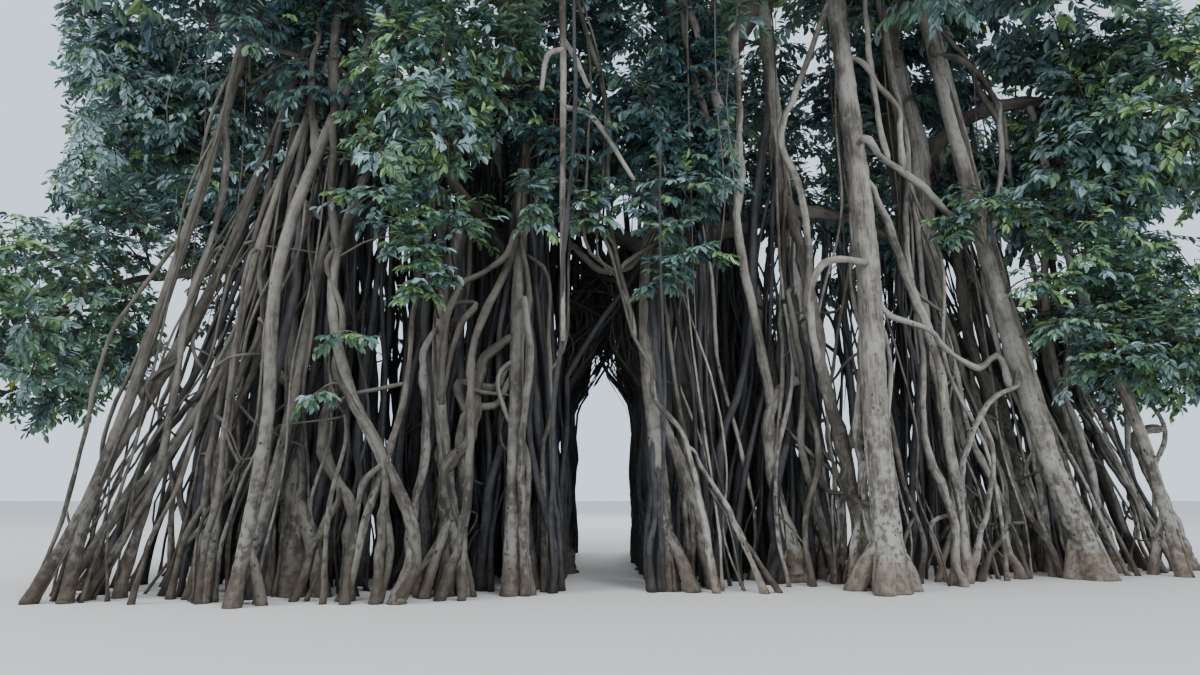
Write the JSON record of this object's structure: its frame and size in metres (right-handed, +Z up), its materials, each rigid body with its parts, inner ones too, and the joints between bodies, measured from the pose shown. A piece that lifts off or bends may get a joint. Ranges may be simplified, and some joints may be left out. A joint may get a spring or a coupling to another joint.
{
  "type": "banyan tree",
  "caption": "Whole banyan tree with pole-like prop roots round a walk-through passage under one wide leafy crown.",
  "frame": {"origin": "middle of the main trunk's flat cut at ground level", "axes": "+Z up, +X to the right as seen from the side the picture shows, +Y away from that side, along the passage"},
  "size_m": [23.322, 15.4987, 16.2309],
  "materials": {
    "bark": "rough grey-brown bark with fine upright furrows",
    "root_bark": "paler, smoother grey-brown bark of prop roots, with pits and knobs",
    "leaf": "dark green leathery leaves with a slight sheen"
  },
  "bodies": {
    "root": {"trunk": "bark", "trunk_right": "bark", "trunk_far_left": "bark", "trunk_far_right": "bark", "bough_left": "bark", "bough_front": "bark", "bough_inner_front": "bark", "bough_back_left": "bark", "bough_front_right": "bark", "bough_right_front": "bark", "bough_back_right": "bark", "bough_far_left": "bark", "bough_left_low": "bark", "bough_left_back": "bark", "bough_right": "bark", "bough_right_low": "bark", "bough_right_back": "bark", "bough_across_left": "bark", "bough_across_passage": "bark", "bough_across_right": "bark", "prop_left_outer": "root_bark", "prop_left_slant": "root_bark", "prop_left_thin": "root_bark", "prop_left_main": "root_bark", "prop_left_column": "root_bark", "prop_left_bowed": "root_bark", "prop_centre_forked": "root_bark", "prop_centre_pole": "root_bark", "prop_passage_right": "root_bark", "prop_inner_dark": "root_bark", "prop_right_inner": "root_bark", "prop_right_main": "root_bark", "prop_right_slender": "root_bark", "prop_right_leaning": "root_bark", "prop_right_middle": "root_bark", "prop_far_right": "root_bark", "prop_back_far_left": "root_bark", "prop_back_left": "root_bark", "prop_back_right": "root_bark", "prop_back_far_right": "root_bark", "hanging_root": "root_bark", "foliage_top_left": "leaf", "foliage_top_middle_left": "leaf", "foliage_top_middle_right": "leaf", "foliage_top_right": "leaf", "foliage_front_left": "leaf", "foliage_front_middle": "leaf", "foliage_front_right": "leaf", "foliage_far_front_right": "leaf", "foliage_inner_front": "leaf", "foliage_left_high": "leaf", "foliage_left_low": "leaf", "foliage_left_back": "leaf", "foliage_back_left": "leaf", "foliage_back_right": "leaf", "foliage_right_back": "leaf", "foliage_right_high": "leaf", "foliage_right_low": "leaf", "foliage_curtain_left": "leaf", "foliage_curtain_right": "leaf"}
  },
  "joints": []
}
